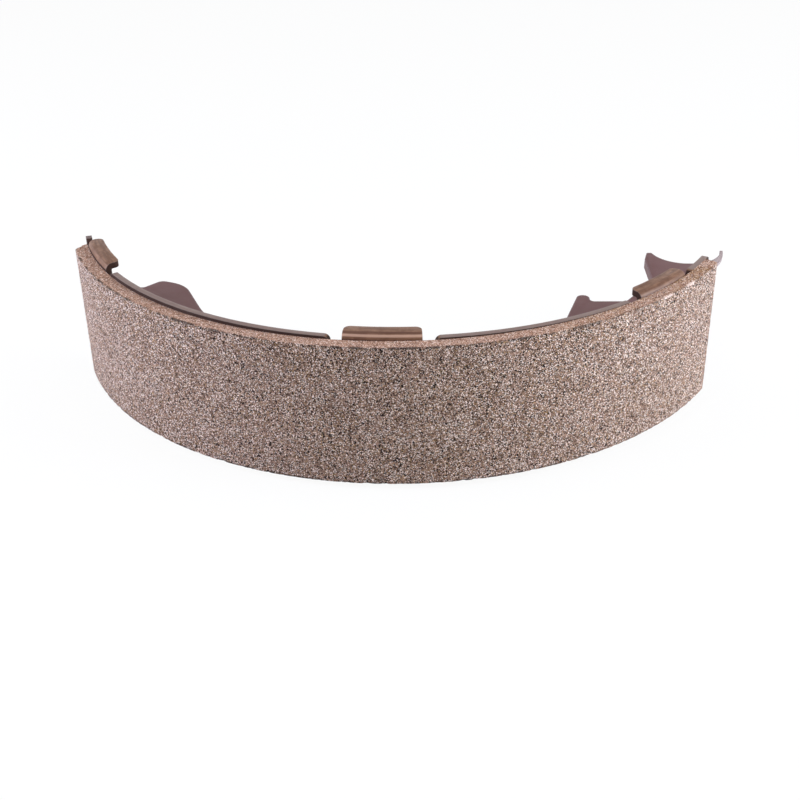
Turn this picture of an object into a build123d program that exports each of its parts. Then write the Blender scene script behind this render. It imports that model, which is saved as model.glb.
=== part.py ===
# A shoe for a duo-servo drum brake, in millimetres.
#
# A friction lining is bonded to the outside of a rolled steel table. A flat stamped web
# stands edge-on against the inside of the table, halfway up, and is welded to it along
# both sides. The table's two edges carry folded ears, on which the shoe slides against
# the backing plate.
#
# The drum axis is Z, and the lower ears stand on z = 0. The anchor pin is near +X and the
# adjuster near -X. Angles round the drum start at -Y and grow towards the anchor.

from build123d import *
import os
from math import asin, atan2, cos, degrees, dist, radians, sin, sqrt

# Friction lining
drum_radius = 155.0              # rubbing face
lining_thickness = 5.8
lining_width = 60.0
lining_toe_margin = 9.4          # rubbing face's ends, from the table's ends
lining_heel_margin = 6.5
lining_toe_bevel_angle = 1.0     # how much further each end runs at the table
lining_heel_bevel_angle = 0.6
lining_toe_round = 2.2           # upright edges at the rubbing face
lining_heel_round = 0.9
lining_skew_angle = 0.43         # bonded slightly askew, heel end high

# Table, the rolled sheet that carries the lining
table_thickness = 2.6
table_overhang = 0.8             # table edge beyond the lining, each side
table_toe_run = 6.9              # past the notch of the first ear
table_heel_run = 19.9            # past the notch of the last ear
table_corner = 2.4

# Ears folded in from both edges of the table
ear_angles = (-62.2, -1.7, 46.5)
ear_length = 30.5                # along the outside of the table
ear_rise = 1.8                   # pad above the plain table edge
ear_reach = 6.6                  # pad's inner edge from the outside of the table
ear_bend_radius = 0.6            # inside the fold
ear_corner = 2.6
relief_width = 4.9               # notch each side of an ear
relief_depth = 2.4               # notch floor below the start of the fold
relief_corner = 1.0

# Web
web_thickness = 4.5
web_depth = 36.6                 # from the table to the web's inner edge

# Anchor end of the web: a half-round seat between two horns
anchor_height = 3.9              # anchor pin's centre above the drum axis, along Y
anchor_seat_radius = 16.8
outer_horn_gap = 0.2             # outer horn to drum
outer_horn_width = 1.5           # at its tip
outer_horn_depth = 1.1           # tip below the anchor's centre
outer_horn_wall = 2.3
outer_horn_thickness = 1.6       # thinned from below where it passes the table
outer_horn_angle = 82.6          # where the horn leaves the table's curve
outer_horn_sweep_angle = 12.0    # covered by the thinning, past the tip
inner_horn_depth = 3.5           # tip below the anchor's centre
inner_horn_width = 2.5
inner_horn_height = 8.0
inner_horn_lean = 2.0
horn_tip_corner = 0.9
heel_waist_depth = 36.4          # where the inner edge turns towards the link seat
heel_waist_radius = 10.0

# Seat of the wheel cylinder's link, and the lug beside it
link_seat_depth = 58.9           # below the anchor's centre
link_seat_distance = 43.9        # seat's middle from the anchor's centre, along X
link_seat_width = 16.0
link_seat_inner_corner = 2.2
link_seat_outer_corner = 3.0
lug_height = 6.6
lug_tip_radius = 2.9
lug_root_angle = 38.4             # where the lug's flank meets the web's inner edge
lug_root_radius = 18.0

# Adjuster slot at the toe, and the lobe beside it
adjuster_seat_depth = 42.8       # below the anchor's centre
adjuster_slot_distance = 19.0    # slot's middle from the table's inside, along X
adjuster_slot_width = 14.8
adjuster_slot_corner = 2.0
toe_horn_height = 6.0
toe_horn_corner = 2.4
lobe_height = 7.6                # above the adjuster seat
lobe_ramp_slope = 49.0
lobe_ramp_radius = 3.7
lobe_width = 12.2
lobe_top_slope = 21.8
lobe_flank_radius = 18.0
lobe_root_angle = -53.6          # where the lobe's flank meets the web's inner edge
lobe_root_radius = 40.0

# Holes in the web, each at a distance from the inside of the table
hold_down_diameter = 9.0
hold_down_distance = 17.6
hold_down_angle = -5.0
lever_pivot_diameter = 10.2
lever_pivot_distance = 18.6
lever_pivot_angle = 71.0
heel_spring_diameter = 8.0
heel_spring_distance = 15.6
heel_spring_angle = 58.0
toe_spring_diameter = 8.0
toe_spring_distance = 15.6
toe_spring_angle = -57.0

# Weld nuggets, in pairs above and below the web
weld_leg = 2.0
weld_length = 8.0
weld_count = 11
weld_margin_angle = 5.0          # outermost nuggets from the table's ends

# Worked out from the sizes above
table_outer = drum_radius - lining_thickness
table_inner = table_outer - table_thickness
ear_span = degrees(ear_length / table_outer)
relief_span = degrees(relief_width / table_outer)
total_width = lining_width + 2 * (table_overhang + ear_rise)
mid_height = total_width / 2
table_bottom = ear_rise
table_width = total_width - 2 * ear_rise
fold_start = total_width - ear_bend_radius - table_thickness
fold_centre = table_outer - ear_bend_radius - table_thickness
relief_floor = fold_start - relief_depth
pad_inner = table_outer - ear_reach
table_toe_angle = ear_angles[0] - ear_span / 2 - relief_span - degrees(table_toe_run / table_outer)
table_heel_angle = ear_angles[-1] + ear_span / 2 + relief_span + degrees(table_heel_run / table_outer)
lining_toe_angle = table_toe_angle + degrees(lining_toe_margin / table_outer)
lining_heel_angle = table_heel_angle - degrees(lining_heel_margin / table_outer)
lining_start = lining_toe_angle - lining_toe_bevel_angle
lining_end = lining_heel_angle + lining_heel_bevel_angle
web_bottom = mid_height - web_thickness / 2
web_top = mid_height + web_thickness / 2
web_inner_radius = table_inner - web_depth
weld_span = degrees(weld_length / table_inner)
cut_margin = 1.0                 # how far a cutting shape stands past what it cuts


def at(radius, angle):
    """The point at a radius from the drum axis and an angle round the drum."""
    return radius * sin(radians(angle)), -radius * cos(radians(angle))


def station(angle):
    """The upright plane through the drum axis at an angle round the drum, x along the radius."""
    x, y = at(1, angle)
    return Plane(origin=(0, 0, 0), x_dir=(x, y, 0), z_dir=(y, -x, 0))


def ring_sector(inner, outer, start, end):
    """A slice of a flat ring round the drum axis."""
    with BuildSketch() as sector:
        with BuildLine():
            CenterArc((0, 0), outer, start - 90, end - start)
            Line(at(outer, end), at(inner, end))
            CenterArc((0, 0), inner, start - 90, end - start)
            Line(at(inner, start), at(outer, start))
        make_face()
    return sector.sketch


def half_chord(radius, height):
    """Half the width of a circle, at a height from its centre."""
    return sqrt(radius**2 - height**2)


def step(start, heading, run):
    """The point a distance from another, on a heading."""
    return start[0] + run * cos(radians(heading)), start[1] + run * sin(radians(heading))


def heading_to(start, end):
    """The heading from one point to another."""
    return degrees(atan2(end[1] - start[1], end[0] - start[0]))


def level_edges(part, height):
    """The straight edges of a part that lie at one height."""
    near = 0.01
    straight = part.edges().filter_by(GeomType.LINE)
    return straight.filter_by_position(Axis.Z, height - near, height + near)


def corner(sketch, point):
    """The corner of a sketch nearest to a point."""
    return sketch.vertices().sort_by_distance(point)[0]


# Lining: a slice of a cylinder between two level-cut ends, with its edges slightly askew
with BuildPart() as friction_lining:
    with BuildSketch(Plane.XZ.offset(-drum_radius)):
        with Locations((0, mid_height)):
            Rectangle(3 * drum_radius, lining_width, rotation=lining_skew_angle)
    extrude(amount=2 * drum_radius)
    with BuildSketch() as lining_section:
        with BuildLine():
            CenterArc((0, 0), drum_radius, lining_toe_angle - 90, lining_heel_angle - lining_toe_angle)
            Line(at(drum_radius, lining_heel_angle), at(table_outer, lining_end))
            CenterArc((0, 0), table_outer, lining_start - 90, lining_end - lining_start)
            Line(at(table_outer, lining_start), at(drum_radius, lining_toe_angle))
        make_face()
        fillet(corner(lining_section, at(drum_radius, lining_toe_angle)), lining_toe_round)
        fillet(corner(lining_section, at(drum_radius, lining_heel_angle)), lining_heel_round)
    extrude(amount=total_width, mode=Mode.INTERSECT)

# Ears of the upper edge: each is the sheet folded in to a flat pad
with BuildPart() as upper_ears:
    for angle in ear_angles:
        with BuildSketch(station(angle - ear_span / 2)):
            with BuildLine():
                CenterArc((fold_centre, fold_start), table_outer - fold_centre, 0, 90)
                Line((fold_centre, total_width), (pad_inner, total_width))
                offset(amount=table_thickness, side=Side.LEFT)
            make_face()
        revolve(axis=Axis.Z, revolution_arc=ear_span)
    pad_edge = upper_ears.edges().filter_by(Axis.Z).sort_by_distance((0, 0, total_width))
    fillet(pad_edge[: 2 * len(ear_angles)], ear_corner)

# Table: a rolled strip, notched beside each ear, with the ears set on both edges
with BuildPart() as shoe_table:
    with BuildSketch(Plane.XY.offset(table_bottom)):
        add(ring_sector(table_inner, table_outer, table_toe_angle, table_heel_angle))
    extrude(amount=table_width)
    for angle in ear_angles:
        ear_start, ear_end = angle - ear_span / 2, angle + ear_span / 2
        cuts = (
            (ear_start - relief_span, ear_start, relief_floor),
            (ear_start, ear_end, fold_start),
            (ear_end, ear_end + relief_span, relief_floor),
        )
        for start, end, floor in cuts:
            for level in (floor, -cut_margin):
                with BuildSketch(Plane.XY.offset(level)):
                    add(ring_sector(table_inner - cut_margin, table_outer + cut_margin, start, end))
                extrude(amount=total_width - floor + cut_margin, mode=Mode.SUBTRACT)
    for height in (table_bottom, table_bottom + table_width):
        fillet(level_edges(shoe_table, height), table_corner)
    for height in (relief_floor, total_width - relief_floor):
        fillet(level_edges(shoe_table, height), relief_corner)
    add(upper_ears.part)
    mirror(upper_ears.part, about=Plane.XY.offset(mid_height))

# Web outline: the anchor's seat and horns
outer_lip_y = anchor_height - outer_horn_depth
outer_tip = (half_chord(drum_radius - outer_horn_gap, outer_lip_y), outer_lip_y)
outer_lip = (outer_tip[0] - outer_horn_width, outer_lip_y)
anchor = (outer_lip[0] - half_chord(anchor_seat_radius, outer_horn_depth), anchor_height)
horn_back = step(anchor, -32, anchor_seat_radius + outer_horn_wall)
horn_root = at(table_inner, outer_horn_angle)
seat_bottom = step(anchor, -90, anchor_seat_radius)
inner_lip_x = anchor[0] - half_chord(anchor_seat_radius, inner_horn_depth)
inner_lip = (inner_lip_x, anchor_height - inner_horn_depth)
inner_tip = (inner_lip_x - inner_horn_width, inner_lip[1])
inner_shoulder = (inner_tip[0] - inner_horn_lean, inner_tip[1] - inner_horn_height)
heel_waist = (inner_shoulder[0], anchor_height - heel_waist_depth)

# Web outline: the link's seat and its lug
link_seat_y = anchor_height - link_seat_depth
seat_inner = (anchor[0] - link_seat_distance - link_seat_width / 2, link_seat_y)
seat_outer = (seat_inner[0] + link_seat_width, link_seat_y)
lug_centre = (seat_inner[0] - lug_tip_radius, link_seat_y + lug_height - lug_tip_radius)
lug_root = at(web_inner_radius, lug_root_angle)
lug_lean = degrees(asin(lug_tip_radius / dist(lug_root, lug_centre)))
lug_start = step(lug_centre, heading_to(lug_root, lug_centre) + lug_lean + 90, lug_tip_radius)
lug_top = step(lug_centre, 90, lug_tip_radius)
lug_end = step(lug_centre, 0, lug_tip_radius)

# Web outline: the adjuster's slot and the lobe
adjuster_seat_y = anchor_height - adjuster_seat_depth
adjuster_slot_x = adjuster_slot_distance - table_inner
slot_outer = (adjuster_slot_x - adjuster_slot_width / 2, adjuster_seat_y)
slot_inner = (adjuster_slot_x + adjuster_slot_width / 2, adjuster_seat_y)
toe_horn = (slot_outer[0], adjuster_seat_y + toe_horn_height)
toe_tip = (-half_chord(table_inner, toe_horn[1]), toe_horn[1])
lobe_crest = step(slot_inner, lobe_ramp_slope, lobe_height / sin(radians(lobe_ramp_slope)))
lobe_shoulder = step(lobe_crest, -lobe_top_slope, lobe_width / cos(radians(lobe_top_slope)))
lobe_root = at(web_inner_radius, lobe_root_angle)

with BuildSketch() as web_outline:
    with BuildLine():
        ThreePointArc(toe_tip, (0, -table_inner), horn_root)
        ThreePointArc(horn_root, horn_back, outer_tip)
        Line(outer_tip, outer_lip)
        ThreePointArc(outer_lip, seat_bottom, inner_lip)
        Polyline(inner_lip, inner_tip, inner_shoulder, heel_waist, seat_outer, seat_inner, lug_end)
        ThreePointArc(lug_end, lug_top, lug_start)
        Line(lug_start, lug_root)
        ThreePointArc(lug_root, (0, -web_inner_radius), lobe_root)
        Polyline(lobe_root, lobe_shoulder, lobe_crest, slot_inner, slot_outer, toe_horn, toe_tip)
    make_face()
    corners = (
        (lobe_root, lobe_root_radius),
        (lobe_shoulder, lobe_flank_radius),
        (lobe_crest, lobe_ramp_radius),
        (lug_root, lug_root_radius),
        (heel_waist, heel_waist_radius),
        (seat_outer, link_seat_outer_corner),
        (seat_inner, link_seat_inner_corner),
        (toe_horn, toe_horn_corner),
        (toe_tip, toe_horn_corner),
        (slot_outer, adjuster_slot_corner),
        (slot_inner, adjuster_slot_corner),
        (inner_tip, horn_tip_corner),
        (inner_lip, horn_tip_corner),
    )
    for point, radius in corners:
        fillet(corner(web_outline, point), radius)

# Web: the plate, with its holes punched through and its outer horn thinned from below
holes = (
    (hold_down_diameter, hold_down_distance, hold_down_angle),
    (lever_pivot_diameter, lever_pivot_distance, lever_pivot_angle),
    (heel_spring_diameter, heel_spring_distance, heel_spring_angle),
    (toe_spring_diameter, toe_spring_distance, toe_spring_angle),
)
outer_horn_end = outer_horn_angle + outer_horn_sweep_angle
with BuildPart() as shoe_web:
    with BuildSketch(Plane.XY.offset(web_bottom)):
        add(web_outline.sketch)
        for diameter, distance, angle in holes:
            with Locations(at(table_inner - distance, angle)):
                Circle(diameter / 2, mode=Mode.SUBTRACT)
    extrude(amount=web_thickness)
    with BuildSketch(Plane.XY.offset(web_bottom)):
        add(ring_sector(table_outer, drum_radius + cut_margin, outer_horn_angle, outer_horn_end))
    extrude(amount=web_thickness - outer_horn_thickness, mode=Mode.SUBTRACT)

# Welds: short convex nuggets in the corner between the web and the table
first_weld = table_toe_angle + weld_margin_angle
weld_pitch = (table_heel_angle - weld_margin_angle - first_weld) / (weld_count - 1)
toe_on_web = (table_inner - weld_leg, web_top)
toe_on_table = (table_inner, web_top + weld_leg)
with BuildPart() as weld_nuggets:
    for number in range(weld_count):
        with BuildSketch(station(first_weld + number * weld_pitch - weld_span / 2)):
            with BuildLine():
                Polyline(toe_on_web, (table_inner, web_top), toe_on_table)
                SagittaArc(toe_on_table, toe_on_web, -weld_leg / 8)
            make_face()
        revolve(axis=Axis.Z, revolution_arc=weld_span)
    mirror(weld_nuggets.part, about=Plane.XY.offset(mid_height))

friction_lining.part.label = "friction_lining"
shoe_table.part.label = "shoe_table"
shoe_web.part.label = "shoe_web"
weld_nuggets.part.label = "weld_nuggets"

os.makedirs("parts", exist_ok=True)
export_step(friction_lining.part, "parts/friction_lining.step")
export_step(shoe_table.part, "parts/shoe_table.step")
export_step(shoe_web.part, "parts/shoe_web.step")
export_step(weld_nuggets.part, "parts/weld_nuggets.step")
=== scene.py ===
from math import atan2, cos, radians, sin, tan

import bpy
from mathutils import Matrix, Vector


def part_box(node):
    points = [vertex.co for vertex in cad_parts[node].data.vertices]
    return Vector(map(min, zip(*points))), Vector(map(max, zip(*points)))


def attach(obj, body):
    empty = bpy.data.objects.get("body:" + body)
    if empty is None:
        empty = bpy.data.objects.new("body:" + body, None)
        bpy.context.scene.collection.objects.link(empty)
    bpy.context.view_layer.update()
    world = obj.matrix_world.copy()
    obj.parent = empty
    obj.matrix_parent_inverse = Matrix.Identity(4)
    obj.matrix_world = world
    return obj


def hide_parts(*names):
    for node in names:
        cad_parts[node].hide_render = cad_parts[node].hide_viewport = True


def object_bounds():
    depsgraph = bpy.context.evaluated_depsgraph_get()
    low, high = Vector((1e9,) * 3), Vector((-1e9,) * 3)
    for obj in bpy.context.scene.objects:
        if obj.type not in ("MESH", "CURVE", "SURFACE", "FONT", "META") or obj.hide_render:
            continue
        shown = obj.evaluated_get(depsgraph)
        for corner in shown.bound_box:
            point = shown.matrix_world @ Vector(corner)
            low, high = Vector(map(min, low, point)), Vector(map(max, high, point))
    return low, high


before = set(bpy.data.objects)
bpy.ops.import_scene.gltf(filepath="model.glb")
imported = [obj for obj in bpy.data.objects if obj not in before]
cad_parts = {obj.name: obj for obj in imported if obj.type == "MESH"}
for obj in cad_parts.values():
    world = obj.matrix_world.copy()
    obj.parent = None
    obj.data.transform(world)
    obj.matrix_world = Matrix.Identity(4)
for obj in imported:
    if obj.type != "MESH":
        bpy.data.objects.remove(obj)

bl_info = {
    "name": "Drum Brake Shoe",
    "version": (1, 0, 0),
    "blender": (4, 5, 0),
    "location": "3D View > Sidebar > Brake Shoe",
    "description": "Finishes a drum brake shoe round its packed solids and sets its stage",
    "category": "Object",
}

CAD_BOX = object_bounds()
LINING_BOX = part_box("friction_lining")
MIDDLE = (LINING_BOX[0].z + LINING_BOX[1].z) / 2
BODY = "root"
MM = 0.001

# Mesh: points this close are one, faces this level are one, edges this sharp are rounded.
MERGE_GAP = 0.002 * MM
FLAT = radians(0.2)
SHARP = radians(35)

# The lining: mesh steps through its thickness, reach of its crumbled edges, its faint gloss.
THICKNESS_STEPS = 6
CRUMB_REACH = 2.2 * MM
LINING_GLOSS = 0.18

# How far short of the paler horn the web's upper edges stop rolling off.
HORN_MARGIN = 8 * MM

# Softboxes, measured from the middle of the shoe, and their sides.
TOP_SPOT = (0.0, 0.05, 0.9)
TOP_SIZE = (1.3, 0.9)
SIDE_OUT = 1.0
SIDE_LIFT = 0.25
SIDE_SIZE = (0.6, 0.8)

# The camera: lens and sensor in millimetres, place in metres, and two directions.
CAMERA_LENS = 55.67
CAMERA_SENSOR = 36.0
CAMERA_SPOT = (0.01740, -0.56142, 0.27136)
CAMERA_RIGHT = (0.99947, 0.02878, -0.01521)
CAMERA_AHEAD = (-0.03254, 0.86909, -0.49358)


# ---------------------------------------------------------------- settings


def length(name, text, default, **limits):
    """A length in metres."""
    return bpy.props.FloatProperty(
        name=name, description=text, default=default, precision=5, unit="LENGTH", **limits
    )


def number(name, text, default, **limits):
    """A plain number."""
    return bpy.props.FloatProperty(
        name=name, description=text, default=default, precision=3, **limits
    )


def angle(name, text, default):
    """An angle, given here in degrees."""
    return bpy.props.FloatProperty(
        name=name, description=text, default=radians(default), unit="ROTATION"
    )


def colour(name, text, red, green, blue):
    """A colour, given here as it shows on a screen, from 0 to 255."""
    shown = [level / 255 for level in (red, green, blue)]
    linear = [v / 12.92 if v <= 0.04045 else ((v + 0.055) / 1.055) ** 2.4 for v in shown]
    return bpy.props.FloatVectorProperty(
        name=name, description=text, default=linear, subtype="COLOR", size=3, min=0.0, max=1.0
    )


class LiningSettings(bpy.types.PropertyGroup):
    drum_radius: length("Drum radius", "Rubbing face from the drum axis", 0.155)
    thickness: length("Thickness", "From the table to the rubbing face", 0.0058)
    width: length("Width", "Along the drum axis", 0.060)
    toe: angle("Toe end", "Angle of the toe end at the rubbing face", -69.0)
    heel: angle("Heel end", "Angle of the heel end at the rubbing face", 59.6)
    toe_bevel: angle("Toe bevel", "How much further the toe end runs at the table", 1.0)
    heel_bevel: angle("Heel bevel", "How much further the heel end runs at the table", 0.4)
    toe_round: length("Toe rounding", "Radius of the toe's upright edge", 0.0031)
    heel_round: length("Heel rounding", "Radius of the heel's upright edge", 0.0006)
    skew: angle("Skew", "How far the lining is bonded askew, heel end high", 0.43)
    pitch: length("Mesh pitch", "Spacing of the mesh on the rubbing face", 0.00075)
    crumble: length("Crumbling", "Depth of the crumbled edges", 0.0003)
    grain: number("Grain", "Grains to a metre in the moulded mix", 3200.0, min=1.0)
    face_colour: colour("Ground face", "Matrix of the rubbing face", 175, 141, 125)
    face_dark: colour("Dark grain", "Dark grains and pores", 26, 18, 15)
    fibre_colour: colour("Fibre", "Pale fibres and grains", 244, 226, 214)
    brass_colour: colour("Brass chips", "Brass chips in the mix", 190, 150, 92)
    edge_colour: colour("Cut edge", "The lining's level cut edges", 180, 141, 120)
    edge_gold: colour("Warm cut edge", "Warmer patches of the cut edges", 162, 122, 80)
    edge_dark: colour("Dark cut grain", "Dark grains of the cut edges", 92, 58, 44)
    chip_colour: colour("Fresh chip", "Freshly broken material", 226, 202, 190)
    chip_one: angle("First chip", "Where the upper edge has its first fresh chip", 44.2)
    chip_two: angle("Second chip", "Where the upper edge has its second fresh chip", 50.2)
    chip_span: angle("Chip span", "Half the length of a fresh chip", 1.4)


class SteelSettings(bpy.types.PropertyGroup):
    web_colour: colour("Web paint", "Thin paint on the web", 101, 68, 69)
    # Grey edges of the web: wear with painted sheen.
    web_edge_wear_and_sheen: colour("Web edge", "Paint worn grey at the web's edges", 130, 114, 116)
    table_colour: colour("Table paint", "Thin paint on the table and its ears", 135, 99, 77)
    # Painted shade: the dark colour of the table's outer face, end faces and toe tip.
    painted_table_shade: colour("Table's outside", "The table's face beside the lining", 48, 30, 25)
    # Rust, also laid as painted shade in corners and notches and as painted dark reflection on the
    # ears.
    rust_and_shade_colour: colour("Rust", "Rust brown in the folds and notches", 84, 52, 38)
    # Edge colour of the table: wear with painted sheen.
    worn_and_sheen_colour: colour("Worn edge", "Steel showing through at edges", 158, 148, 142)
    sheared_colour: colour("Sheared edge", "The table's level sheared edges", 124, 108, 103)
    # Painted highlight along the crest of the ears' folds.
    painted_crest_highlight: colour("Fold crest", "Paint rubbed bright along the ears' folds", 196, 158, 136)
    # A paler grey painted on the horn.
    horn_colour: colour("Rubbed horn", "Paint rubbed grey beside the anchor seat", 168, 152, 150)
    # Where the ears' folds carry painted reflection: a dark line at the crease, a painted
    # highlight at the crest.
    crease: length("Crease", "Radius of the dark crease where an ear starts to fold", 0.1472)
    crest: length("Crest", "Radius of the rubbed crest of an ear's fold", 0.1484)
    ear_level: length("Ear level", "Height from the middle that only the ears reach", 0.0308)
    # How far from the middle the painted fold highlight stays full.
    crest_span: angle("Crest span", "How far from the middle the crest is rubbed bright", 12.0)
    # Beyond this angle the table's toe tip is painted dark as shade.
    toe_tip: angle("Toe tip", "Where the table's bare toe starts", -69.5)
    horn_reach: length("Horn", "How far along the shoe the rubbed horn starts", 0.1450)
    weld_colour: colour("Weld", "Painted weld nuggets", 104, 82, 76)
    paint_gloss: number("Paint gloss", "How strongly the paint reflects", 0.2, min=0.0, max=1.0)
    table_outside: length("Table's outside", "Radius of the face that carries the lining", 0.1492)
    table_edge: length("Table edge radius", "Rounding of the table's sheared edges", 0.00022)
    die_roll: length("Die roll", "Rounding of the web's upper edges", 0.0008)
    web_burr_edge: length("Lower edge radius", "Rounding of the web's lower edges", 0.0003)
    weld_round: length("Weld rounding", "Rounding of the weld nuggets", 0.0006)


class StageSettings(bpy.types.PropertyGroup):
    floor_colour: colour("Floor", "Pale plain floor", 247, 247, 247)
    floor_size: length("Floor size", "Side of the floor", 6.0)
    floor_white: number("Floor glow", "Share of the floor shown as white", 0.93, min=0.0, max=1.0)
    key: number("Top light", "Power of the softbox above, in watts", 3.4, min=0.0)
    left: number("Left light", "Power of the softbox at the toe end", 14.8, min=0.0)
    left_tint: colour("Left tint", "Colour of the light at the toe end", 225, 232, 255)
    right: number("Right light", "Power of the softbox at the heel end", 18.3, min=0.0)
    right_tint: colour("Right tint", "Colour of the light at the heel end", 232, 241, 255)
    side_reach: length("Side lights forward", "How far in front the side lights stand", 0.16)
    front_dark: number("Dark front", "How much darker the room's front is", 1.0, min=0.0, max=1.0)
    world: number("World light", "Strength of the even light all round", 0.42, min=0.0)


# ---------------------------------------------------------------- mesh helpers


def deselect_all():
    """Leaves nothing selected, in object mode."""
    if bpy.context.object and bpy.context.object.mode != "OBJECT":
        bpy.ops.object.mode_set(mode="OBJECT")
    bpy.ops.object.select_all(action="DESELECT")


def activate(piece):
    """Makes one piece the selected and active one."""
    deselect_all()
    piece.select_set(True)
    bpy.context.view_layer.objects.active = piece


def edit(piece, mode):
    """Opens a piece in edit mode with nothing selected."""
    activate(piece)
    bpy.ops.object.mode_set(mode="EDIT")
    bpy.ops.mesh.select_mode(type=mode)
    bpy.ops.mesh.select_all(action="DESELECT")


def pick(piece, kind, test):
    """Selects a piece's vertices, edges or faces that pass a test, from within edit mode."""
    bpy.ops.object.mode_set(mode="OBJECT")
    for element in getattr(piece.data, kind):
        element.select = bool(test(element))
    bpy.ops.object.mode_set(mode="EDIT")


def join_up(piece, mode="FACE"):
    """Merges a piece's doubled points and turns its faces outwards, and stays in edit mode."""
    edit(piece, mode)
    bpy.ops.mesh.select_all(action="SELECT")
    bpy.ops.mesh.remove_doubles(threshold=MERGE_GAP)
    bpy.ops.mesh.normals_make_consistent(inside=False)


def round_sharp(piece, width, segments, test=None):
    """Rounds a piece's sharp edges, or those of them that pass a test."""
    edit(piece, "EDGE")
    bpy.ops.mesh.edges_select_sharp(sharpness=SHARP)
    if test:
        pick(piece, "edges", lambda e: e.select and test(e))
    bpy.ops.mesh.bevel(offset=width, segments=segments, clamp_overlap=True)


def finish_mesh(piece, smooth):
    """Joins a piece up and shades it smooth up to an angle in degrees."""
    join_up(piece)
    bpy.ops.object.mode_set(mode="OBJECT")
    bpy.ops.object.shade_smooth_by_angle(angle=radians(smooth))


def apply_modifier(piece, name):
    """Applies one modifier of a piece."""
    activate(piece)
    bpy.ops.object.modifier_apply(modifier=name)


def merged_copy(node, name):
    """A copy of a CAD node whose loose triangles are merged into whole faces."""
    piece = bpy.data.objects.new(name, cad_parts[node].data.copy())
    bpy.context.scene.collection.objects.link(piece)
    piece.data.name = name
    piece.data.materials.clear()
    join_up(piece, "VERT")
    bpy.ops.mesh.dissolve_limited(angle_limit=FLAT)
    bpy.ops.object.mode_set(mode="OBJECT")
    return piece


def around(point):
    """A point's distance from the drum axis and its angle round it, from -Y towards +X."""
    return Vector(point[:2]).length, atan2(point[0], -point[1])


def edge_middle(piece, edge):
    """The middle of an edge."""
    ends = [piece.data.vertices[i].co for i in edge.vertices]
    return (ends[0] + ends[1]) / 2


def keep(piece, slot, *nodes):
    """Rides a piece on the shoe, in place of its CAD nodes."""
    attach(piece, BODY)
    if nodes:
        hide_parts(*nodes)


# ---------------------------------------------------------------- shader helpers


def new_group(name, inputs, outputs):
    """A shader node group with named inputs and outputs, and the sockets at its ends."""
    group = bpy.data.node_groups.new(name, "ShaderNodeTree")
    for label, kind, default in inputs:
        socket = group.interface.new_socket(label, in_out="INPUT", socket_type="NodeSocket" + kind)
        socket.default_value = default
    for label, kind in outputs:
        group.interface.new_socket(label, in_out="OUTPUT", socket_type="NodeSocket" + kind)
    given = group.nodes.new("NodeGroupInput").outputs
    made = group.nodes.new("NodeGroupOutput").inputs
    return group, given, made


def put(tree, kind, inputs=None, **settings):
    """A new node with its settings, its inputs set to values or linked to sockets."""
    node = tree.nodes.new("ShaderNode" + kind)
    for key, value in settings.items():
        setattr(node, key, value)
    for key, value in (inputs or {}).items():
        socket = node.inputs[key]
        if isinstance(value, bpy.types.NodeSocket):
            tree.links.new(value, socket)
        else:
            socket.default_value = value
    return node


def place(tree, group, inputs):
    """A shared group placed in a material with its own values."""
    return put(tree, "Group", inputs, node_tree=bpy.data.node_groups[group]).outputs


def math(tree, operation, first, second=0.0, third=0.0, clamp=False):
    """The result of a maths node."""
    node = put(tree, "Math", {0: first, 1: second, 2: third}, operation=operation, use_clamp=clamp)
    return node.outputs["Value"]


def ramp(tree, value, low, high, to_low=0.0, to_high=1.0):
    """A smooth ramp of a value, from one level to another."""
    node = put(
        tree,
        "MapRange",
        {"Value": value, "From Min": low, "From Max": high, "To Min": to_low, "To Max": to_high},
        interpolation_type="SMOOTHSTEP",
    )
    return node.outputs["Result"]


def apart(tree, first, second):
    """How far two values are apart."""
    return math(tree, "ABSOLUTE", math(tree, "SUBTRACT", first, second))


def axis(tree, vector, name):
    """A vector's X, Y or Z."""
    return put(tree, "SeparateXYZ", {0: vector}).outputs[name]


def mix(tree, factor, first, second):
    """Two colours mixed by a factor."""
    shades = [c if isinstance(c, bpy.types.NodeSocket) else (*c, 1.0) for c in (first, second)]
    node = put(tree, "Mix", {0: factor, 6: shades[0], 7: shades[1]}, data_type="RGBA")
    return node.outputs[2]


def layer(tree, under, mask, amount, over):
    """A colour laid over another where a mask shows, up to an amount."""
    return mix(tree, math(tree, "MULTIPLY", mask, amount), under, over)


def darker(paint, share):
    """A colour with only a share of its light."""
    return [level * share for level in paint]


def noise(tree, vector, scale, detail=2.0, roughness=0.5):
    """The value of a noise texture."""
    values = {"Vector": vector, "Scale": scale, "Detail": detail, "Roughness": roughness}
    return put(tree, "TexNoise", values).outputs["Fac"]


def mottle(tree, spot, scale, contrast):
    """Soft patches from their group."""
    return place(tree, "Mottle", {"Vector": spot, "Scale": scale, "Contrast": contrast})["Value"]


def grains(tree, spot, scale, dark, pale):
    """Packed grains from their group, with the shares of dark and of pale ones."""
    values = {"Vector": spot, "Scale": scale, "Dark share": dark, "Pale share": pale}
    return place(tree, "Grains", values)


def edge_wear_and_sheen(tree, spot, radius, reach, patchiness, scale):
    """Worn outer edges with painted sheen, from their group."""
    values = {"Radius": radius, "Reach": reach, "Patchiness": patchiness, "Scale": scale}
    return place(tree, "Edge wear", {"Vector": spot, **values})["Mask"]


def recess(tree, distance, low, high):
    """Corners and folds from their group."""
    return place(tree, "Recess", {"Distance": distance, "Low": low, "High": high})["Mask"]


def new_material(name):
    """An empty material with its principled shader, its tree and its object coordinates."""
    material = bpy.data.materials.new(name)
    material.use_nodes = True
    tree = material.node_tree
    shader = next(node for node in tree.nodes if node.type == "BSDF_PRINCIPLED")
    coordinates = tree.nodes.new("ShaderNodeTexCoord").outputs
    return material, tree, shader, coordinates


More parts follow.
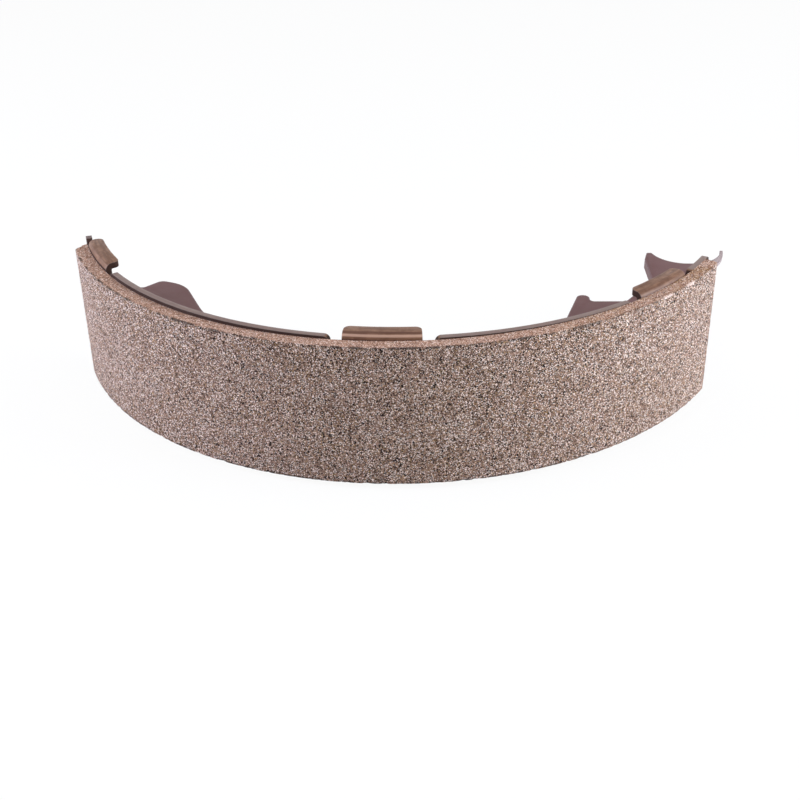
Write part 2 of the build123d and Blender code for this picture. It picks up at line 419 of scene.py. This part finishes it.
def feed(tree, shader, base, roughness, normal, gloss):
    """Links a material's patterns to its principled shader, whose gloss stays one value."""
    tree.links.new(base, shader.inputs["Base Color"])
    tree.links.new(roughness, shader.inputs["Roughness"])
    tree.links.new(normal, shader.inputs["Normal"])
    shader.inputs["Specular IOR Level"].default_value = gloss


def shown_white(tree):
    """1 where a ray shows the background, straight or in a reflection, and 0 where it lights."""
    ray = put(tree, "LightPath").outputs
    clear = math(tree, "MAXIMUM", ray["Is Glossy Ray"], ray["Is Transmission Ray"])
    return math(tree, "MAXIMUM", ray["Is Camera Ray"], clear)


def bump(tree, height, strength, distance):
    """A bumped normal."""
    values = {"Height": height, "Strength": strength, "Distance": distance}
    return put(tree, "Bump", values).outputs["Normal"]


# ---------------------------------------------------------------- shared effects


def edge_wear_and_sheen_group():
    """Where an outer edge runs, broken up by noise: a mask from 0 to 1."""
    group, given, made = new_group(
        "Edge wear",
        [
            ("Vector", "Vector", (0, 0, 0)),
            ("Radius", "Float", 0.001),
            ("Reach", "Float", 0.25),
            ("Patchiness", "Float", 0.4),
            ("Scale", "Float", 300.0),
        ],
        [("Mask", "Float")],
    )
    soft = put(group, "Bevel", {"Radius": given["Radius"]}, samples=6).outputs["Normal"]
    true = group.nodes.new("ShaderNodeNewGeometry").outputs["Normal"]
    dot = put(group, "VectorMath", {0: soft, 1: true}, operation="DOT_PRODUCT").outputs["Value"]
    turned = math(group, "SUBTRACT", 1.0, dot)
    ragged = noise(group, given["Vector"], given["Scale"], 3.0, 0.6)
    swing = math(group, "MULTIPLY", math(group, "SUBTRACT", ragged, 0.5), given["Patchiness"])
    mask = ramp(group, math(group, "ADD", turned, swing), 0.01, given["Reach"])
    group.links.new(mask, made["Mask"])


def recess_group():
    """How deep a point lies in a corner or under a ledge: a mask from 0 to 1."""
    group, given, made = new_group(
        "Recess",
        [("Distance", "Float", 0.006), ("Low", "Float", 0.35), ("High", "Float", 0.8)],
        [("Mask", "Float")],
    )
    open_sky = put(group, "AmbientOcclusion", {"Distance": given["Distance"]}, samples=8)
    mask = ramp(group, open_sky.outputs["AO"], given["Low"], given["High"], 1.0, 0.0)
    group.links.new(mask, made["Mask"])


def mottle_group():
    """Soft patches on two scales, from 0 to 1."""
    group, given, made = new_group(
        "Mottle",
        [("Vector", "Vector", (0, 0, 0)), ("Scale", "Float", 60.0), ("Contrast", "Float", 0.3)],
        [("Value", "Float")],
    )
    broad = noise(group, given["Vector"], given["Scale"], 3.0, 0.55)
    fine_scale = math(group, "MULTIPLY", given["Scale"], 5.0)
    fine = noise(group, given["Vector"], fine_scale, 2.0, 0.6)
    both = math(group, "MULTIPLY_ADD", fine, 0.35, math(group, "MULTIPLY", broad, 0.65))
    low = math(group, "SUBTRACT", 0.5, given["Contrast"])
    high = math(group, "ADD", 0.5, given["Contrast"])
    group.links.new(ramp(group, both, low, high), made["Value"])


def grain_group():
    """Grains packed side by side: a random level for each, and how far two kinds of them show."""
    group, given, made = new_group(
        "Grains",
        [
            ("Vector", "Vector", (0, 0, 0)),
            ("Scale", "Float", 1000.0),
            ("Dark share", "Float", 0.2),
            ("Pale share", "Float", 0.1),
        ],
        [("Level", "Float"), ("Dark", "Float"), ("Pale", "Float"), ("Rare", "Float")],
    )
    where = {"Vector": given["Vector"], "Scale": given["Scale"]}
    cells = put(group, "TexVoronoi", where, feature="F1")
    level, kind, rare = put(group, "SeparateColor", {0: cells.outputs["Color"]}).outputs
    softness = 0.06
    dark_top = math(group, "ADD", given["Dark share"], softness)
    pale_low = math(group, "SUBTRACT", 1.0, given["Pale share"])
    pale_top = math(group, "ADD", pale_low, softness)
    group.links.new(level, made["Level"])
    group.links.new(ramp(group, kind, given["Dark share"], dark_top, 1.0, 0.0), made["Dark"])
    group.links.new(ramp(group, kind, pale_low, pale_top), made["Pale"])
    group.links.new(ramp(group, rare, 0.955, 0.96), made["Rare"])


def ring_group():
    """Round the drum axis: a point's radius and angle, how far it faces along, and streaks."""
    group, given, made = new_group(
        "Ring",
        [
            ("Vector", "Vector", (0, 0, 0)),
            ("Facing", "Vector", (0, 0, 1)),
            ("Streak scale", "Float", 800.0),
        ],
        [("Radius", "Float"), ("Angle", "Float"), ("Along", "Float"), ("Streaks", "Float")],
    )
    x, y, z = put(group, "SeparateXYZ", {0: given["Vector"]}).outputs
    flat = put(group, "CombineXYZ", {0: x, 1: y}).outputs["Vector"]
    radius = put(group, "VectorMath", {0: flat}, operation="LENGTH").outputs["Value"]
    turned = math(group, "ARCTAN2", x, math(group, "MULTIPLY", y, -1.0))
    run = math(group, "MULTIPLY", math(group, "MULTIPLY", turned, radius), 0.12)
    rolled = put(group, "CombineXYZ", {0: run, 1: radius, 2: z}).outputs["Vector"]
    level = put(group, "CombineXYZ", {0: math(group, "MULTIPLY", y, -1.0), 1: x}).outputs["Vector"]
    tangent = put(group, "VectorMath", {0: level}, operation="NORMALIZE").outputs["Vector"]
    facing = put(group, "VectorMath", {0: tangent, 1: given["Facing"]}, operation="DOT_PRODUCT")
    group.links.new(radius, made["Radius"])
    group.links.new(turned, made["Angle"])
    group.links.new(math(group, "ABSOLUTE", facing.outputs["Value"]), made["Along"])
    group.links.new(noise(group, rolled, given["Streak scale"], 2.0, 0.55), made["Streaks"])


# ---------------------------------------------------------------- materials


def lining_material(own):
    """Moulded friction material: ground rubbing face, tan cut edges, pores, fibres and brass."""
    material, tree, shader, coordinates = new_material("friction_material")
    spot = coordinates["Object"]
    ring = place(tree, "Ring", {"Vector": spot, "Facing": coordinates["Normal"]})
    cloud = mottle(tree, spot, scale=26.0, contrast=0.22)
    patch = mottle(tree, spot, scale=150.0, contrast=0.2)
    grain = grains(tree, spot, own.grain, dark=0.29, pale=0.18)
    coarse = grains(tree, spot, own.grain * 0.5, dark=0.07, pale=0.03)
    x, _, z = put(tree, "SeparateXYZ", {0: spot}).outputs
    lift = math(tree, "SUBTRACT", math(tree, "MULTIPLY_ADD", x, -tan(own.skew), z), MIDDLE)
    from_edge = math(tree, "SUBTRACT", own.width / 2, math(tree, "ABSOLUTE", lift))
    below_face = math(tree, "SUBTRACT", own.drum_radius, ring["Radius"])
    depth = math(tree, "MAXIMUM", from_edge, below_face)
    edge = ramp(tree, depth, 0.3 * MM, 1.1 * MM, 1.0, 0.0)
    up = axis(tree, coordinates["Normal"], "Z")
    level = ramp(tree, math(tree, "ABSOLUTE", up), 0.55, 0.8)
    toward_heel = ramp(tree, ring["Angle"], radians(18), radians(46))

    warm = [light * share for light, share in zip(own.face_colour, (0.76, 0.71, 0.6))]
    face = mix(tree, cloud, own.face_colour, warm)
    face = layer(tree, face, patch, 0.4, darker(own.face_colour, 0.62))
    face = layer(tree, face, grain["Level"], 0.7, darker(warm, 0.55))
    dark = math(tree, "MAXIMUM", grain["Dark"], coarse["Dark"])
    pale = math(tree, "MAXIMUM", grain["Pale"], coarse["Pale"])
    face = layer(tree, face, dark, 0.97, own.face_dark)
    face = layer(tree, face, pale, 0.93, own.fibre_colour)
    face = layer(tree, face, grain["Rare"], 0.6, own.brass_colour)

    gold = math(tree, "MULTIPLY_ADD", toward_heel, 0.85, 0.1)
    cut = layer(tree, own.edge_colour, ramp(tree, cloud, 0.3, 0.8), gold, own.edge_gold)
    cut = layer(tree, cut, grain["Level"], 0.3, darker(own.edge_colour, 0.7))
    speck = math(tree, "MULTIPLY_ADD", toward_heel, 0.2, 0.75)
    cut = layer(tree, cut, dark, speck, own.edge_dark)
    cut = layer(tree, cut, pale, 0.7, own.fibre_colour)
    base = mix(tree, level, face, cut)

    nick = math(tree, "MULTIPLY", edge, ramp(tree, patch, 0.35, 0.65))
    nicked = math(tree, "MULTIPLY_ADD", toward_heel, -0.6, 0.75)
    base = layer(tree, base, nick, nicked, own.face_dark)
    broken = math(tree, "MULTIPLY_ADD", grain["Level"], 1.1 * MM, 0.2 * MM)
    fresh = math(tree, "LESS_THAN", depth, broken)
    fresh = math(tree, "MULTIPLY", fresh, ramp(tree, lift, 0.0, 1.0 * MM))
    for middle_angle in (own.chip_one, own.chip_two):
        away = apart(tree, ring["Angle"], middle_angle)
        chip = ramp(tree, away, own.chip_span * 0.5, own.chip_span, 0.85, 0.0)
        base = layer(tree, base, chip, fresh, own.chip_colour)

    height = math(tree, "SUBTRACT", math(tree, "MULTIPLY", pale, 0.4), dark)
    height = math(tree, "MULTIPLY_ADD", grain["Level"], -0.3, height)
    normal = bump(tree, height, strength=0.35, distance=0.2 * MM)
    roughness = math(tree, "MULTIPLY_ADD", pale, -0.2, 0.82)
    feed(tree, shader, base, roughness, normal, LINING_GLOSS)
    return material


def web_material(own):
    """Thin purple-brown paint on the stamped plate, greyer with wear and painted sheen where the
    edges roll off.
    """
    material, tree, shader, coordinates = new_material("web_paint")
    spot = coordinates["Object"]
    patches = mottle(tree, spot, scale=28.0, contrast=0.35)
    fine = mottle(tree, spot, scale=420.0, contrast=0.3)
    # Edge mask for wear and painted sheen.
    worn = edge_wear_and_sheen(tree, spot, radius=1.5 * MM, reach=0.12, patchiness=0.06, scale=240.0)
    # Corner mask for rust and painted shade.
    deep = recess(tree, distance=7.0 * MM, low=0.3, high=0.75)
    base = layer(tree, own.web_colour, patches, 0.7, darker(own.web_colour, 0.82))
    base = layer(tree, base, fine, 0.25, own.rust_and_shade_colour)
    # From horn_reach on, the horn is painted a paler grey.
    run = axis(tree, spot, "X")
    horn = ramp(tree, run, own.horn_reach - 1.5 * MM, own.horn_reach + 1.5 * MM, 0.0, 0.85)
    base = mix(tree, horn, base, own.horn_colour)
    # Wear with painted sheen on the edges.
    base = layer(tree, base, worn, 0.75, own.web_edge_wear_and_sheen)
    # Rust and painted shade in the corners.
    base = layer(tree, base, deep, 0.55, own.rust_and_shade_colour)
    roughness = math(tree, "MULTIPLY_ADD", patches, 0.1, 0.46)
    normal = bump(tree, fine, strength=0.12, distance=0.08 * MM)
    feed(tree, shader, base, roughness, normal, own.paint_gloss)
    return material


def table_material(own):
    """Thin brown paint on the rolled sheet: ears streaked with painted reflection, rust and
    painted shade in the folds, dark painted shade outside.
    """
    material, tree, shader, coordinates = new_material("table_paint")
    spot = coordinates["Object"]
    normal_in = coordinates["Normal"]
    ring = place(tree, "Ring", {"Vector": spot, "Facing": normal_in, "Streak scale": 800.0})
    facing = math(tree, "ABSOLUTE", axis(tree, normal_in, "Z"))
    off = apart(tree, axis(tree, spot, "Z"), MIDDLE)
    ear = ramp(tree, off, own.ear_level + 0.15 * MM, own.ear_level + 0.55 * MM)
    sheared = ramp(tree, facing, 0.93, 0.985)
    sheared = math(tree, "MULTIPLY", sheared, math(tree, "SUBTRACT", 1.0, ear))
    turned = math(tree, "ABSOLUTE", ring["Angle"])
    # Share of the painted fold reflection: full near the middle, faint further out.
    fold_reflection_share = ramp(tree, turned, own.crest_span, own.crest_span * 1.8, 1.0, 0.12)
    patches = mottle(tree, spot, scale=150.0, contrast=0.14)
    fine = mottle(tree, spot, scale=480.0, contrast=0.25)
    # Edge mask for wear and painted sheen.
    worn = edge_wear_and_sheen(tree, spot, radius=0.7 * MM, reach=0.2, patchiness=0.1, scale=420.0)
    # Corner mask for rust and painted shade in the folds and notches.
    deep = recess(tree, distance=5.0 * MM, low=0.35, high=0.9)
    skin = own.table_outside
    # Painted shade: the outer face beside the lining, the faces turned along the ring and the toe
    # tip.
    outside = ramp(tree, ring["Radius"], skin - 0.15 * MM, skin - 0.05 * MM)
    ends = ramp(tree, ring["Along"], 0.4, 0.7)
    tip = ramp(tree, ring["Angle"], own.toe_tip - radians(0.3), own.toe_tip, 1.0, 0.0)
    dark = math(tree, "MAXIMUM", math(tree, "MAXIMUM", outside, ends), tip)
    # Painted reflection streaks in the rust colour, strong on the ears and faint elsewhere.
    streaks = ramp(tree, ring["Streaks"], 0.42, 0.6)
    streaked = math(tree, "MULTIPLY_ADD", ear, 0.5, 0.15)
    base = layer(tree, own.table_colour, streaks, streaked, own.rust_and_shade_colour)
    base = layer(tree, base, patches, 0.55, own.rust_and_shade_colour)
    base = layer(tree, base, fine, 0.25, darker(own.table_colour, 0.6))
    # Painted reflection across each fold: a dark line at the crease, a painted highlight at the
    # crest.
    folds = ((own.crease, 0.7 * MM, own.rust_and_shade_colour), (own.crest, 0.6 * MM, own.painted_crest_highlight))
    for radius, reach, paint in folds:
        line = ramp(tree, apart(tree, ring["Radius"], radius), 0.2 * MM, reach, 0.8, 0.0)
        base = layer(tree, base, math(tree, "MULTIPLY", line, ear), fold_reflection_share, paint)
    # Rust and painted shade in the folds and notches.
    base = layer(tree, base, deep, 0.8, own.rust_and_shade_colour)
    # Painted shade on the outer face, end faces and toe tip.
    base = layer(tree, base, dark, 0.92, own.painted_table_shade)
    base = layer(tree, base, sheared, 0.75, own.sheared_colour)
    # Wear with painted sheen on the edges.
    base = layer(tree, base, worn, 0.3, own.worn_and_sheen_colour)
    roughness = math(tree, "MULTIPLY_ADD", patches, 0.12, 0.34)
    roughness = math(tree, "MULTIPLY_ADD", dark, 0.4, roughness)
    normal = bump(tree, fine, strength=0.2, distance=0.1 * MM)
    feed(tree, shader, base, roughness, normal, own.paint_gloss)
    return material


def weld_material(own):
    """Painted weld metal, slightly uneven."""
    material, tree, shader, coordinates = new_material("weld_paint")
    fine = mottle(tree, coordinates["Object"], scale=300.0, contrast=0.3)
    base = layer(tree, own.weld_colour, fine, 0.6, own.rust_and_shade_colour)
    roughness = math(tree, "MULTIPLY_ADD", fine, 0.2, 0.4)
    normal = bump(tree, fine, strength=0.4, distance=0.2 * MM)
    feed(tree, shader, base, roughness, normal, own.paint_gloss)
    return material


# ---------------------------------------------------------------- operators


class SHOE_OT_effects(bpy.types.Operator):
    """Builds the shader groups that the finishes share"""

    bl_idname = "shoe.effects"
    bl_label = "Shared effects"

    def execute(self, context):
        edge_wear_and_sheen_group()
        recess_group()
        mottle_group()
        grain_group()
        ring_group()
        return {"FINISHED"}


class SHOE_OT_lining(bpy.types.Operator):
    """Builds the friction lining: a spun slice with bevelled ends and crumbled edges"""

    bl_idname = "shoe.lining"
    bl_label = "Friction lining"

    def execute(self, context):
        own = context.scene.shoe_lining
        inner = own.drum_radius - own.thickness
        start = own.toe - own.toe_bevel
        sweep = own.heel - own.toe
        outward = Vector((sin(own.toe), -cos(own.toe), 0)) * own.drum_radius
        inward = Vector((sin(start), -cos(start), 0)) * inner
        piece = self.outline(own, outward, inward)

        turn = piece.modifiers.new("turn", "SCREW")
        turn.axis = "Z"
        turn.angle = sweep
        turn.steps = turn.render_steps = round(sweep * own.drum_radius / own.pitch)
        apply_modifier(piece, "turn")

        edit(piece, "EDGE")
        bpy.ops.mesh.select_non_manifold()
        bpy.ops.mesh.fill_holes(sides=0)
        bpy.ops.mesh.select_all(action="SELECT")
        bpy.ops.mesh.normals_make_consistent(inside=False)
        bpy.ops.object.mode_set(mode="OBJECT")
        for vertex in piece.data.vertices:
            far, turned = around(vertex.co)
            depth = (own.drum_radius - far) / own.thickness
            along = (turned + own.toe_bevel * depth - own.toe) / sweep
            spread = (own.toe_bevel + own.heel_bevel) * depth * along
            vertex.co.rotate(Matrix.Rotation(spread, 3, "Z"))
            turned += spread
            for run, radius in (
                (turned - own.toe, own.toe_round),
                (own.heel - turned, own.heel_round),
            ):
                gap = max(0.0, radius - max(0.0, run) * own.drum_radius)
                limit = own.drum_radius - radius + (radius**2 - gap**2) ** 0.5
                if far > limit:
                    vertex.co.x *= limit / far
                    vertex.co.y *= limit / far
                    far = limit
        lean = Matrix.Identity(4)
        lean[2][0] = tan(own.skew)
        piece.data.transform(lean)

        join_up(piece)
        bpy.ops.object.mode_set(mode="OBJECT")
        self.crumble(piece, own)
        finish_mesh(piece, smooth=38)
        piece.data.materials.append(lining_material(own))
        keep(piece, "lining", "friction_lining")
        return {"FINISHED"}

    def outline(self, own, outward, inward):
        """The outline of the lining's toe end, with the points of its long sides a pitch apart."""
        deselect_all()
        bpy.ops.mesh.primitive_plane_add(size=1)
        piece = bpy.context.object
        piece.name = piece.data.name = "friction_lining_moulding"
        edit(piece, "FACE")
        bpy.ops.mesh.select_all(action="SELECT")
        bpy.ops.mesh.delete(type="ONLY_FACE")
        bpy.ops.mesh.select_mode(type="EDGE")
        width_steps = round(own.width / own.pitch)
        for long_side, pieces in ((True, width_steps), (False, THICKNESS_STEPS)):
            pick(piece, "edges", lambda e: (abs(edge_middle(piece, e).x) > 0.4) == long_side)
            bpy.ops.mesh.subdivide(number_cuts=pieces - 1)
        bpy.ops.object.mode_set(mode="OBJECT")
        across = outward - inward
        rise = Vector((0, 0, own.width))
        stand = Matrix((across, rise, across.cross(rise).normalized())).transposed().to_4x4()
        stand.translation = (outward + inward) / 2 + Vector((0, 0, MIDDLE))
        piece.data.transform(stand)
        return piece

    def crumble(self, piece, own):
        """Breaks small crumbs out of the long edges of the rubbing face."""
        edges = piece.vertex_groups.new(name="long_edges")
        for vertex in piece.data.vertices:
            x, y, z = vertex.co
            below_face = own.drum_radius - Vector((x, y)).length
            from_edge = own.width / 2 - abs(z - MIDDLE - x * tan(own.skew))
            depth = max(below_face, from_edge)
            if depth < CRUMB_REACH:
                edges.add([vertex.index], 1 - depth / CRUMB_REACH, "REPLACE")
        texture = bpy.data.textures.new("crumbs", "CLOUDS")
        texture.noise_scale = CRUMB_REACH
        texture.noise_depth = 3
        texture.use_clamp = True
        texture.contrast = 4.5
        texture.intensity = 0.42
        wear = piece.modifiers.new("crumbs", "DISPLACE")
        wear.texture = texture
        wear.texture_coords = "LOCAL"
        wear.vertex_group = "long_edges"
        wear.mid_level = 0.0
        wear.strength = -own.crumble
        apply_modifier(piece, "crumbs")
        piece.vertex_groups.clear()


class SHOE_OT_table(bpy.types.Operator):
    """Rounds the sheared edges of the rolled table and paints it"""

    bl_idname = "shoe.table"
    bl_label = "Shoe table"

    def execute(self, context):
        own = context.scene.shoe_steel
        piece = merged_copy("shoe_table", "shoe_table_sheet")
        round_sharp(piece, own.table_edge, segments=2)
        finish_mesh(piece, smooth=34)
        piece.data.materials.append(table_material(own))
        keep(piece, "table_steel", "shoe_table")
        return {"FINISHED"}


class SHOE_OT_web(bpy.types.Operator):
    """Rolls off the upper edges of the stamped web and paints it"""

    bl_idname = "shoe.web"
    bl_label = "Web"

    def execute(self, context):
        own = context.scene.shoe_steel
        piece = merged_copy("shoe_web", "shoe_web_plate")
        top = max(vertex.co.z for vertex in piece.data.vertices) - 0.01 * MM
        round_sharp(piece, own.die_roll, 3, lambda e: self.rolled(own, piece, e, top))
        round_sharp(piece, own.web_burr_edge, segments=2)
        finish_mesh(piece, smooth=34)
        piece.data.materials.append(web_material(own))
        keep(piece, "web_steel", "shoe_web")
        return {"FINISHED"}

    def rolled(self, own, piece, edge, top):
        """Whether an edge bounds the web's upper face, short of the slender horn."""
        ends = [piece.data.vertices[i].co for i in edge.vertices]
        return all(end.z > top and end.x < own.horn_reach - HORN_MARGIN for end in ends)


class SHOE_OT_welds(bpy.types.Operator):
    """Rounds the weld nuggets and paints them"""

    bl_idname = "shoe.welds"
    bl_label = "Weld nuggets"

    def execute(self, context):
        own = context.scene.shoe_steel
        piece = merged_copy("weld_nuggets", "weld_beads")
        round_sharp(piece, own.weld_round, segments=3)
        finish_mesh(piece, smooth=60)
        piece.data.materials.append(weld_material(own))
        keep(piece, "weld_steel", "weld_nuggets")
        return {"FINISHED"}


class SHOE_OT_stage(bpy.types.Operator):
    """Sets the floor, the soft lights, the white surroundings and the camera"""

    bl_idname = "shoe.stage"
    bl_label = "Stage"

    def execute(self, context):
        own = context.scene.shoe_stage
        self.floor(context, own)
        middle = (CAD_BOX[0] + CAD_BOX[1]) / 2
        self.softbox("top_light", middle + Vector(TOP_SPOT), middle, TOP_SIZE, own.key)
        for side, power, tint in ((-1, own.left, own.left_tint), (1, own.right, own.right_tint)):
            spot = middle + Vector((side * SIDE_OUT, -own.side_reach, SIDE_LIFT))
            self.softbox("side_light", spot, middle, SIDE_SIZE, power, tint)
        self.surroundings(context, own)
        self.camera(context)
        context.scene.view_settings.view_transform = "Standard"
        return {"FINISHED"}

    def floor(self, context, own):
        """A pale floor that is white to the camera and still takes the shoe's shadow."""
        deselect_all()
        bpy.ops.mesh.primitive_plane_add(size=own.floor_size)
        floor = context.object
        floor.name = "floor"
        material, tree, shader, _ = new_material("floor_white")
        shader.inputs["Base Color"].default_value = (*own.floor_colour, 1.0)
        shader.inputs["Roughness"].default_value = 0.9
        glow = put(tree, "Emission", {"Color": (1, 1, 1, 1), "Strength": 1.0}).outputs["Emission"]
        share = math(tree, "MULTIPLY", shown_white(tree), own.floor_white)
        both = put(tree, "MixShader", {0: share, 1: shader.outputs["BSDF"], 2: glow})
        output = next(node for node in tree.nodes if node.type == "OUTPUT_MATERIAL")
        tree.links.new(both.outputs["Shader"], output.inputs["Surface"])
        floor.data.materials.append(material)

    def softbox(self, name, spot, target, size, power, tint=(1, 1, 1)):
        """A rectangular light aimed at a target."""
        lamp = bpy.data.lights.new(name, "AREA")
        lamp.shape = "RECTANGLE"
        lamp.size, lamp.size_y = size
        lamp.energy = power
        lamp.color = tint
        holder = bpy.data.objects.new(name, lamp)
        bpy.context.scene.collection.objects.link(holder)
        holder.location = spot
        holder.rotation_euler = (target - spot).to_track_quat("-Z", "Y").to_euler()

    def surroundings(self, context, own):
        """A room that shows white, and lights evenly but for its darker front."""
        world = bpy.data.worlds.new("white_room")
        context.scene.world = world
        world.use_nodes = True
        tree = world.node_tree
        background = next(node for node in tree.nodes if node.type == "BACKGROUND")
        background.inputs["Color"].default_value = (1, 1, 1, 1)
        way = put(tree, "TexCoord").outputs["Generated"]
        front = math(tree, "MULTIPLY", axis(tree, way, "Y"), -1.0, clamp=True)
        even = math(tree, "MULTIPLY_ADD", front, -own.front_dark * own.world, own.world)
        strength = math(tree, "MAXIMUM", shown_white(tree), even)
        tree.links.new(strength, background.inputs["Strength"])

    def camera(self, context):
        """The camera, square to its two directions."""
        data = bpy.data.cameras.new("camera")
        data.sensor_width = CAMERA_SENSOR
        data.lens = CAMERA_LENS
        holder = bpy.data.objects.new("camera", data)
        context.scene.collection.objects.link(holder)
        right = Vector(CAMERA_RIGHT).normalized()
        ahead = Vector(CAMERA_AHEAD)
        ahead = (ahead - right * ahead.dot(right)).normalized()
        up = right.cross(ahead)
        pose = Matrix((right, up, -ahead)).transposed().to_4x4()
        pose.translation = Vector(CAMERA_SPOT)
        holder.matrix_world = pose
        context.scene.camera = holder


class SHOE_PT_panel(bpy.types.Panel):
    """Sizes, finishes and steps of the brake shoe"""

    bl_idname = "SHOE_PT_panel"
    bl_label = "Brake Shoe"
    bl_space_type = "VIEW_3D"
    bl_region_type = "UI"
    bl_category = "Brake Shoe"

    def draw(self, context):
        for step in STEPS:
            self.layout.operator(step.bl_idname)
        for title, group in GROUPS.items():
            box = self.layout.box()
            box.label(text=title.replace("_", " ").capitalize())
            for name in group.__annotations__:
                box.prop(getattr(context.scene, title), name)


GROUPS = {
    "shoe_lining": LiningSettings,
    "shoe_steel": SteelSettings,
    "shoe_stage": StageSettings,
}
STEPS = (SHOE_OT_effects, SHOE_OT_lining, SHOE_OT_table, SHOE_OT_web, SHOE_OT_welds, SHOE_OT_stage)


def register():
    for each in (*GROUPS.values(), *STEPS, SHOE_PT_panel):
        bpy.utils.register_class(each)
    for name, group in GROUPS.items():
        setattr(bpy.types.Scene, name, bpy.props.PointerProperty(type=group))


def unregister():
    for name in GROUPS:
        delattr(bpy.types.Scene, name)
    for each in reversed((*GROUPS.values(), *STEPS, SHOE_PT_panel)):
        bpy.utils.unregister_class(each)


def main():
    register()
    bpy.ops.shoe.effects()
    bpy.ops.shoe.lining()
    bpy.ops.shoe.table()
    bpy.ops.shoe.web()
    bpy.ops.shoe.welds()
    bpy.ops.shoe.stage()


if __name__ == "__main__":
    main()
